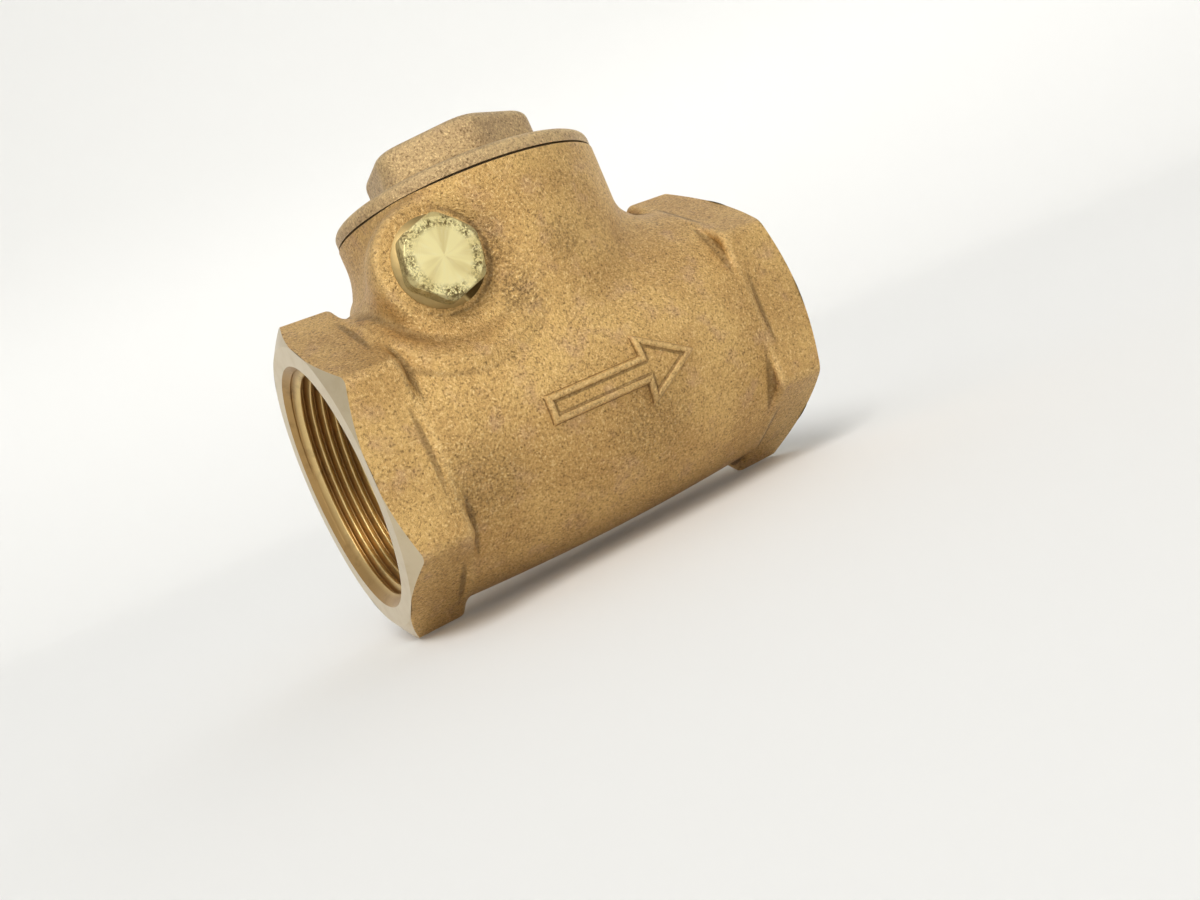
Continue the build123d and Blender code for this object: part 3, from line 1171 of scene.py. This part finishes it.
    def build_skin(self, materials: Sequence[bpy.types.Material]) -> bpy.types.Object:
        """Outside of the casting, closed by its turned ends, neck rim and spot face.

        Args:
            materials: those of the cast skin, the turned faces and the spot face.

        Returns:
            The new object.
        """
        reach = self.barrel_crown + 4.0
        low, high = (-3.0, -reach, -36.0), (self.length + 3.0, reach, self.neck_top + 3.0)
        points, faces = net_over(self.casting, low, high, self.cell)
        snap = SNAP * self.cell
        points, faces, _ = trim(points, faces, self.casting, self.end_cone, snap)
        rim_level: Field = lambda p: p[:, 2] - self.neck_top
        points, faces, _ = trim(points, faces, self.casting, rim_level, snap)
        points, faces, _ = trim(points, faces, self.casting, self.spot_hole, snap)
        shell = Shell()
        shell.add_points(points, bend_of(self.casting, points))
        shell.add_faces(faces, 0)
        rim = rim_of(points, faces, rim_level)
        cone = rim_of(points, faces, self.end_cone)
        spot = rim_of(points, faces, self.spot_hole)
        self._close_end(shell, points, cone[points[cone][:, 0] < self.middle], Side.INLET)
        self._close_end(shell, points, cone[points[cone][:, 0] > self.middle], Side.OUTLET)
        self._close_neck(shell, points, rim)
        self._close_spot(shell, points, spot)
        return shell.build("body_casting", materials)

    def _close_end(self, shell: Shell, points: Array, rim: Array, side: Side) -> None:
        """Turned cone from the hexagon's rim, the flat face, and the countersink's edge.

        Args:
            shell: the mesh that is closed.
            points: the mesh's points.
            rim: numbers of the rim's points.
            side: which end.
        """
        x = 0.0 if side is Side.INLET else self.length
        radii = (self.face_radius, (self.face_radius + self.mouth_radius) / 2.0, self.mouth_radius)
        shell.turned(points, rim, 0, (0.0, 0.0), [(radius, x) for radius in radii], 1,
                     flip=side is Side.OUTLET)

    def _close_neck(self, shell: Shell, points: Array, rim: Array) -> None:
        """Flat rim of the neck and the bore that takes the cap."""
        shell.turned(points, rim, 2, (self.middle, 0.0),
                     [(self.cap_thread, self.neck_top), (self.cap_thread, self.cavity_top)], 1)

    def _close_spot(self, shell: Shell, points: Array, rim: Array) -> None:
        """Wall and floor of the spot face that the plug's head seats on.

        Args:
            shell: the mesh that is closed.
            points: the casting's points.
            rim: numbers of the rim's points.
        """
        shell.turned(points, rim, 1, (self.pin_x, self.pin_z),
                     [(self.spot_radius, -self.spot_depth), (self.spot_bore, -self.spot_depth)], 2,
                     flip=True)

    def thread_radius(self, depth: Array, around: Array) -> Array:
        """Radius of the tapped wall: a tapered helix, opened out by the countersink.

        The radius is root - taper * depth - height * wave, where wave is a flattened triangle
        of depth / pitch - angle / 2 pi, and is never less than the countersink's cone.

        Args:
            depth: distances in from the end's face.
            around: angles about the flow axis.

        Returns:
            The radius at each.
        """
        phase = np.mod(depth / self.thread_pitch - around / (2.0 * math.pi), 1.0)
        wave = np.clip(np.abs(2.0 * phase - 1.0) * 1.25 - 0.12, 0.0, 1.0)
        root = self.thread_root + self.thread_spare - self.thread_taper * depth
        return np.maximum(root - self.thread_height * wave,
                          self.mouth_radius - self.countersink * depth)

    def build_thread(self, side: Side,
                     materials: Sequence[bpy.types.Material]) -> bpy.types.Object:
        """Tapped wall of one end and the flat wall at its bottom, on a grid of angle and depth.

        Args:
            side: which end.
            materials: the thread's material, alone in a list.

        Returns:
            The new object.
        """
        turns = np.linspace(0.0, 2.0 * math.pi, 241)[:-1]
        depth = np.linspace(0.0, self.thread_depth, 141)
        deep, around = np.meshgrid(depth, turns, indexing="ij")
        radius = self.thread_radius(deep, around)
        inner = self.port_radius if side is Side.INLET else self.outlet_port
        deep = np.concatenate([deep, deep[-1:]])
        around = np.concatenate([around, around[-1:]])
        radius = np.concatenate([radius, np.full_like(radius[-1:], inner)])
        x = deep if side is Side.INLET else self.length - deep
        spin = around if side is Side.INLET else -around
        grid = np.stack([x, radius * np.cos(spin), radius * np.sin(spin)], axis=-1)
        shell = Shell()
        shell.grid(grid, 0, flip=True)
        return shell.build(f"{side.value}_thread", materials)

    def cavity(self, p: Array) -> Array:
        """Cast room inside: the chamber, the neck's hollow and the pocket for the knuckle.

        Args:
            p: points in millimetres, one a row.

        Returns:
            The distance, negative inside.
        """
        chamber = self.from_flow(p) - self.chamber_radius
        hollow = np.maximum(self.from_neck(p) - self.cavity_radius, -p[:, 2])
        pocket = np.maximum(self.from_pin(p) - self.pocket_radius,
                            np.abs(p[:, 1]) - self.pocket_half_width)
        return soft_min(soft_min(chamber, hollow, 1.5), pocket, 0.8)

    def build_passage(self, materials: Sequence[bpy.types.Material]) -> bpy.types.Object:
        """Walls of the cast room, the seat, and the lip in front of the outlet thread.

        Args:
            materials: those of the cast skin and the turned faces.

        Returns:
            The new object.
        """
        reach = self.chamber_radius + 2.0
        low = (self.seat_base - 2.0, -reach, -reach)
        high = (self.outlet_lip + 2.0, reach, self.cavity_top + 2.0)
        points, faces = net_over(self.cavity, low, high, self.passage_cell)
        levels: list[Field] = [lambda p: self.seat_base - p[:, 0],
                               lambda p: p[:, 0] - self.outlet_lip,
                               lambda p: p[:, 2] - self.cavity_top]
        for level in levels:
            points, faces, _ = trim(points, faces, self.cavity, level, PASSAGE_SNAP)
        shell = Shell()
        shell.add_points(points)
        shell.add_faces(faces, 0, flip=True)
        seat = ((self.seat_edge, self.seat_base), (self.seat_edge, self.seat_face),
                (self.port_radius, self.seat_face), (self.port_radius, self.thread_depth))
        lip = ((self.outlet_port, self.outlet_lip),
               (self.outlet_port, self.length - self.thread_depth))
        roof = ((self.cap_thread, self.cavity_top),)
        rims = [rim_of(points, faces, level) for level in levels]
        shell.turned(points, rims[0], 0, (0.0, 0.0), seat, 1)
        shell.turned(points, rims[1], 0, (0.0, 0.0), lip, 1, flip=True)
        shell.turned(points, rims[2], 2, (self.middle, 0.0), roof, 1, flip=True)
        return shell.build("body_passage", materials)

    def build(self, finishes: dict[str, bpy.types.Material]) -> None:
        """Make and place the casting's skin, passage and threads, which stand for the body.

        Args:
            finishes: the materials by short name.
        """
        cast, turned, thread = finishes["cast"], finishes["face"], finishes["thread"]
        show(self.build_skin([cast, turned, finishes["spot"]]), "valve_body", "cast_bronze",
             "body")
        show(self.build_passage([cast, turned]), "valve_body", "cast_bronze", "body")
        for side in Side:
            show(self.build_thread(side, [thread]), "valve_body", "cast_bronze", "body")


@dataclass
class FlowArrow:
    """The raised arrow on the side of the barrel, with steep flanks and a soft top edge."""

    body: ValveBody
    length: float = 34.0
    head: float = 13.0
    width: float = 15.0
    shaft: float = 6.0
    height: float = 0.95
    root: float = 0.3
    border: float = 1.25
    panel_depth: float = 0.5
    panel_wall: float = 0.55
    overlap: float = 2.0
    margin: float = 0.4
    foot_shade: float = 1.2
    centre: tuple[float, float] = (50.0, -2.0)
    cell: float = 0.2

    def outline(self, x: Array, z: Array) -> Array:
        """Distance to the outline: the lesser of the shaft's rectangle and the head's triangle.

        Args:
            x: places along the arrow from its middle.
            z: places across it.

        Returns:
            The distance, negative inside.
        """
        barb = self.length / 2.0 - self.head
        half_shaft = (self.length - self.head) / 2.0
        shaft = np.maximum(np.abs(z) - self.shaft / 2.0,
                           np.abs(x + self.head / 2.0 - self.overlap) - half_shaft - self.overlap)
        slope = self.width / 2.0 / self.head
        lean = (np.abs(z) - (self.length / 2.0 - x) * slope) / math.hypot(1.0, slope)
        return np.minimum(shaft, round_edge(lean, barb - x, 0.6))

    def build(self, finishes: dict[str, bpy.types.Material]) -> None:
        """Make the arrow as a sheet over the barrel, whose rim dips under the casting.

        The sheet stands at the barrel's radius plus a height that rises to a rounded border
        inside the outline, and sinks to a lower panel within that border.

        Args:
            finishes: the materials by short name.
        """
        u, v = (np.arange(-size / 2.0 - self.margin, size / 2.0 + self.margin, self.cell)
                for size in (self.length, self.width))
        x, z = np.meshgrid(u, v, indexing="ij")
        inset = self.outline(x, z)
        rise = 1.0 - smooth_step(inset, -0.6, 0.12)
        sunk = smooth_step(-inset, self.border, self.border + self.panel_wall) * self.panel_depth
        x, z = x + self.centre[0], z + self.centre[1]
        flat = np.stack([x, np.full_like(x, -self.body.barrel_crown), z], axis=-1).reshape(-1, 3)
        height = (self.height + self.root) * rise - self.root - sunk
        radius = self.body.barrel_radius(flat) + height.ravel()
        y = -np.sqrt(radius * radius - z.ravel() ** 2)
        points = np.stack([x.ravel(), y, z.ravel()], axis=1)
        number = np.arange(len(points)).reshape(x.shape)
        quads = np.stack([number[:-1, :-1], number[1:, :-1], number[1:, 1:],
                          number[:-1, 1:]], -1)
        kept = (rise[:-1, :-1] + rise[1:, 1:]) > 0.0
        slope_x, slope_z = np.gradient(height, self.cell)
        bend = -np.gradient(slope_x, self.cell, axis=0) - np.gradient(slope_z, self.cell, axis=1)
        shell = Shell()
        # The bend is pushed down along the outline's foot, so the cast material darkens it there:
        # partly oxide, partly painted shade.
        shell.add_points(points, (bend - self.foot_shade * (inset > -0.35)).ravel())
        shell.add_faces(quads[kept], 0)
        made = shell.build("flow_arrow", [finishes["cast"]])
        show(made, "valve_body", "cast_bronze", "body")


@dataclass
class ScrewCap:
    """The screw-in cap: flange, cast hexagon with soft edges, and the skirt below."""

    middle: float = 48.5
    base: float = 44.4
    flange_top: float = 47.4
    flange_radius: float = 28.2
    flange_edge: float = 1.6
    half_flats: float = 17.1
    turn: float = 25.0
    top: float = 56.9
    top_edge: float = 2.2
    draft: float = 0.02
    corner: float = 3.4
    fillet: float = 2.6
    skirt_radius: float = 22.35
    skirt_length: float = 7.0
    core_radius: float = 17.55
    crown_radius: float = 12.5
    crown_z: float = 52.1
    cell: float = 0.55

    def casting(self, p: Array) -> Array:
        """Flange and hexagon, joined with a fillet; the hexagon narrows a little upwards.

        Args:
            p: points in millimetres, one a row.

        Returns:
            The distance, negative inside.
        """
        across, along = p[:, 0] - self.middle, p[:, 1]
        flange = round_edge(np.hypot(across, along) - self.flange_radius,
                            p[:, 2] - self.flange_top, self.flange_edge)
        sides = hexagon_distance(across, along, self.half_flats, self.turn + 30.0, self.corner)
        sides = sides + self.draft * (p[:, 2] - self.flange_top)
        block = round_edge(sides, p[:, 2] - self.top, self.top_edge)
        return soft_min(flange, block, self.fillet)

    def build(self, finishes: dict[str, bpy.types.Material]) -> None:
        """Make the cap and let it stand for its node.

        Args:
            finishes: the materials by short name.
        """
        reach = self.flange_radius + 2.0
        low = (self.middle - reach, -reach, self.base - 2.0)
        high = (self.middle + reach, reach, self.top + 2.0)
        points, faces = net_over(self.casting, low, high, self.cell)
        level: Field = lambda p: self.base - p[:, 2]
        points, faces, rim = trim(points, faces, self.casting, level, SNAP * self.cell)
        shell = Shell()
        shell.add_points(points, bend_of(self.casting, points))
        shell.add_faces(faces, 0)
        foot = self.base - self.skirt_length
        profile = ((self.skirt_radius, self.base), (self.skirt_radius, foot),
                   (self.core_radius, foot), (self.core_radius, self.base),
                   (self.crown_radius, self.base), (self.crown_radius, self.crown_z))
        ring = shell.turned(points, rim, 2, (self.middle, 0.0), profile, 1, flip=True)
        shell.cap(ring, np.array([self.middle, 0.0, self.crown_z]), 1, flip=True)
        made = shell.build("screw_cap", [finishes["cap"], finishes["face"]])
        show(made, "valve_body", "cast_bronze", "cap")


@dataclass
class PinPlug:
    """The brass plug on the side of the neck: chamfered hexagon head and shank."""

    x: float = 27.8
    z: float = 30.5
    seat: float = 24.5
    height: float = 3.4
    half_flats: float = 7.35
    turn: float = 49.85
    corner: float = 0.35
    face_radius: float = 7.1
    shank_radius: float = 4.95
    shank_length: float = 6.0
    chamfer: float = 30.0

    def build(self, finishes: dict[str, bpy.types.Material]) -> None:
        """Make the plug as rings about its axis, from the face's middle to the shank's end.

        Args:
            finishes: the materials by short name.
        """
        around = np.linspace(0.0, 2.0 * math.pi, 361)[:-1]
        outline = hexagon_radius(around, self.half_flats, self.turn, self.corner)
        front = self.seat + self.height
        slope = math.tan(math.radians(self.chamfer))
        rings = [(np.full_like(around, share * self.face_radius), front)
                 for share in (0.06, 0.25, 0.5, 0.75, 0.97, 1.0)]
        for share in np.linspace(0.15, 1.0, 6):
            radius = self.face_radius + (outline - self.face_radius) * share
            rings.append((radius, front - slope * (radius - self.face_radius)))
        edge = front - slope * (outline - self.face_radius)
        for share in (0.04, 0.5, 0.94):
            rings.append((outline + 0.02, edge + (self.seat - edge) * share))
        shank = np.full_like(around, self.shank_radius)
        tail = self.seat - self.shank_length
        rings += [(outline - 0.12, self.seat), (shank, self.seat), (shank, tail)]
        grid = np.stack([np.stack([self.x + radius * np.cos(around),
                                   -np.broadcast_to(depth, around.shape),
                                   self.z + radius * np.sin(around)], axis=1)
                         for radius, depth in rings])
        shell = Shell()
        first, last = shell.grid(grid, 1)
        shell.cap(first, np.array([self.x, -front, self.z]), 1, flip=True)
        shell.cap(last, np.array([self.x, -tail, self.z]), 1)
        plug = finishes["plug"]
        show(shell.build("pin_plug", [plug, plug], crease=20.0), "valve_body", "plug_brass",
             "hinge_pin_plug")


@dataclass
class DiscGroup:
    """The pieces inside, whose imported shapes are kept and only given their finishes."""

    finish_of: dict[str, str] = field(default_factory=lambda: {
        "cap_gasket": "gasket", "plug_gasket": "gasket", "hinge_pin": "steel",
        "disc_hinge": "arm", "disc": "disc", "seat_disc": "seat",
        "seat_disc_washer": "steel", "seat_disc_nut": "nut", "disc_washer": "steel",
        "disc_nut": "nut", "lock_pin": "steel"})

    def dress(self, finishes: dict[str, bpy.types.Material]) -> None:
        """Put each node's finish in its material slots.

        Args:
            finishes: the materials by short name.
        """
        for node, finish in self.finish_of.items():
            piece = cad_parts[node]
            piece.data.materials.clear()
            piece.data.materials.append(finishes[finish])
            log.info("node %s: %s", node, finish)


def make_finishes(body: ValveBody, plug: PinPlug) -> dict[str, bpy.types.Material]:
    """Build every material of the valve.

    Args:
        body: the body, whose sizes place the staining, the painted shade beside the plug and the
            turning axis.
        plug: the plug, whose axis its turning rings share.

    Returns:
        The materials by short name.
    """
    # Darker patches: the three beside and under the plug paint the shade of the dish and the boss;
    # the others are staining.
    stains_and_shade = ((body.pin_x + 9.2, -26.0, 32.0, 6.5), (body.pin_x + 10.2, -26.5, 24.5, 8.5),
              (body.pin_x + 11.5, -27.0, 18.5, 6.5), (50.8, -28.2, 26.8, 6.0),
              (17.5, -29.5, -9.0, 12.0), (54.0, -28.5, -12.5, 13.0))
    cap_stains = ((40.0, -26.0, 52.0, 13.0),)
    axis = (0.0, 0.0, 0.0)
    return {
        "cast": CastBronze(stains_and_shade=stains_and_shade).material(),
        "cap": CastBronze(name="cap_bronze", stains_and_shade=cap_stains, bright=tone(0.57, 0.40, 0.20),
                          plain=tone(0.47, 0.32, 0.165), rosy=tone(0.45, 0.31, 0.19)).material(),
        "face": TurnedFace("turned_face", tone(0.63, 0.525, 0.36), tone(0.50, 0.39, 0.23),
                           axis, 0).material(),
        # The spot face is darkened to the casting's tone: partly painted shade, so its crescent
        # beside the plug stays dim.
        "spot": TurnedFace("spot_face", tone(0.47, 0.34, 0.145), tone(0.30, 0.21, 0.09),
                           (body.pin_x, 0.0, body.pin_z), 1, roughness=0.44).material(),
        "thread": CutThread().material(),
        "plug": PlugBrass((plug.x, plug.z), plug.face_radius).material(),
        "arm": CastBronze(name="arm_bronze", grain_depth=0.04).material(),
        "disc": TurnedFace("turned_disc", tone(0.70, 0.52, 0.27), tone(0.45, 0.30, 0.14),
                           axis, 0, pitch=0.35, depth=0.01).material(),
        "nut": PlainMetal("turned_brass", tone(0.80, 0.64, 0.32),
                          tone(0.5, 0.36, 0.16)).material(),
        "steel": PlainMetal("ground_steel", tone(0.60, 0.59, 0.57),
                            tone(0.40, 0.39, 0.37)).material(),
        "seat": SoftSeal("seat_polymer", tone(0.82, 0.81, 0.78), tone(0.70, 0.68, 0.63),
                         0.45).material(),
        "gasket": SoftSeal("gasket_fibre", tone(0.065, 0.04, 0.02), tone(0.11, 0.07, 0.04),
                           0.7).material(),
    }


class LampKind(Enum):
    """Kinds of lamp, by the renderer's name for them."""

    DISTANT = "SUN"
    SOFT_BOX = "AREA"


@dataclass(frozen=True)
class Lamp:
    """A lamp and where it stands.

    The strength is W/m2 for a distant lamp and W for a soft box.  The size is how wide the
    lamp looks in degrees, or the box's width in metres.  far is its distance in metres.
    """

    name: str
    kind: LampKind
    towards: tuple[float, float, float]
    strength: float
    size: float
    colour: tuple[float, float, float]
    far: float = 1.0


@dataclass
class Studio:
    """Pale seamless ground, soft lights and the camera."""

    azimuth: float = -25.81
    elevation: float = 3.97
    roll: float = -23.28
    eye: tuple[float, float, float] = (-39.8, -194.4, 0.5)
    lens: float = 30.1
    aim: tuple[float, float, float] = (48.5, 0.0, 10.0)
    ground: float = 0.76
    wall: float = 0.86
    warmth: float = 0.985
    bowl_radius: float = 1.6
    bowl_bend: float = 0.6
    bowl_around: int = 96
    sky: Colour = tone(1.0, 1.0, 0.99)
    sky_strength: float = 0.50
    lamps: tuple[Lamp, ...] = (
        Lamp("key", LampKind.DISTANT, (-0.38, -0.52, 0.76), 1.8, 30.0, (1.0, 0.985, 0.96)),
        Lamp("fill", LampKind.DISTANT, (0.75, 0.55, 0.45), 0.5, 60.0, (0.97, 0.985, 1.0)),
        Lamp("front", LampKind.SOFT_BOX, (-0.20, -0.95, 0.42), 1.8, 0.45, (1.0, 0.99, 0.97),
             0.95))

    def back(self) -> Vector:
        """Unit vector from the scene towards the camera."""
        a, e = math.radians(self.azimuth), math.radians(self.elevation)
        return Vector((math.sin(a) * math.cos(e), -math.cos(a) * math.cos(e), math.sin(e)))

    def add_camera(self) -> None:
        """Camera at its eye point, turned about its own axis by the roll."""
        back = self.back()
        right = Vector((-back.y, back.x, 0.0)).normalized()
        right = -right if right.x < 0 else right
        up = back.cross(right)
        turn = Matrix.Rotation(math.radians(self.roll), 3, back)
        right, up = turn @ right, turn @ up
        data = bpy.data.cameras.new("camera")
        data.lens = self.lens
        data.clip_start = 0.005
        data.clip_end = 50.0
        camera = bpy.data.objects.new("camera", data)
        bpy.context.scene.collection.objects.link(camera)
        basis = Matrix((right, up, back)).transposed().to_4x4()
        camera.matrix_world = Matrix.Translation(Vector(self.eye) * MM) @ basis
        bpy.context.scene.camera = camera

    def add_ground(self, floor_z: float) -> None:
        """Flat floor that turns up into a round wall: rings of radius and height.

        The wall's profile is a quarter circle joined to a straight rise.  The wall is a mesh
        of its own that lets the lights through, so that only the floor and the valve shade.

        Args:
            floor_z: height of the floor in metres.
        """
        flat = np.linspace(0.02, 1.0, 12)
        bend = np.linspace(0.0, math.pi / 2.0, 16)[1:]
        radius = np.concatenate([flat, 1.0 + self.bowl_bend * np.sin(bend),
                                 [self.bowl_radius] * 4])
        height = np.concatenate([0 * flat, self.bowl_bend * (1 - np.cos(bend)),
                                 [0.8, 1.0, 1.2, 1.4]])
        around = np.linspace(0.0, 2.0 * math.pi, self.bowl_around + 1)[:-1]
        grid = np.stack([radius[:, None] * np.cos(around), radius[:, None] * np.sin(around),
                         np.broadcast_to(height[:, None], (len(height), len(around)))], axis=-1)
        grid[..., 2] += floor_z
        web = Web("ground")
        _, _, height = web.axes()
        low, high = (tone(level, level, level * self.warmth) for level in (self.ground, self.wall))
        shade = web.mix(height.ramp(0.0, 400.0), low, high)
        material = web.finish(Base_Color=shade, Roughness=0.9)
        seam = len(flat) - 2
        floor, wall = Shell(), Shell()
        first, _ = floor.grid(grid[:seam + 1] / MM, 0)
        floor.cap(first, np.array([0.0, 0.0, floor_z / MM]), 0, flip=True)
        wall.grid(grid[seam:] / MM, 0)
        floor.build("floor", [material])
        open_wall = wall.build("wall", [material])
        open_wall.visible_shadow = False

    def add_lamp(self, lamp: Lamp) -> None:
        """Place a lamp that looks at the valve's middle and isn't seen itself.

        Args:
            lamp: its kind, strength, size and place.
        """
        data = bpy.data.lights.new(lamp.name, lamp.kind.value)
        data.energy = lamp.strength
        data.color = lamp.colour
        if lamp.kind is LampKind.DISTANT:
            data.angle = math.radians(lamp.size)
        else:
            data.size = lamp.size
        light = bpy.data.objects.new(lamp.name, data)
        bpy.context.scene.collection.objects.link(light)
        towards = Vector(lamp.towards).normalized()
        light.location = Vector(self.aim) * MM + towards * lamp.far
        light.visible_camera = False
        light.rotation_euler = towards.to_track_quat("Z", "Y").to_euler()

    def build(self, floor_z: float) -> None:
        """Add the ground, the lights and the camera.

        Args:
            floor_z: height of the floor in metres.
        """
        self.add_camera()
        self.add_ground(floor_z)
        for lamp in self.lamps:
            self.add_lamp(lamp)
        world = bpy.data.worlds.new("studio")
        world.use_nodes = True
        background = world.node_tree.nodes["Background"]
        background.inputs[0].default_value = self.sky
        background.inputs[1].default_value = self.sky_strength
        bpy.context.scene.world = world
        bpy.context.scene.view_settings.view_transform = "Standard"


def main() -> None:
    """Build the valve's sub-assemblies in order, then the studio round them."""
    logging.basicConfig(level=logging.INFO, format="%(message)s")
    body, cap, plug, inside, studio = ValveBody(), ScrewCap(), PinPlug(), DiscGroup(), Studio()
    finishes = make_finishes(body, plug)
    body.build(finishes)
    FlowArrow(body).build(finishes)
    cap.build(finishes)
    plug.build(finishes)
    inside.dress(finishes)
    studio.build(cad_box[0].z)


if __name__ == "__main__":
    main()
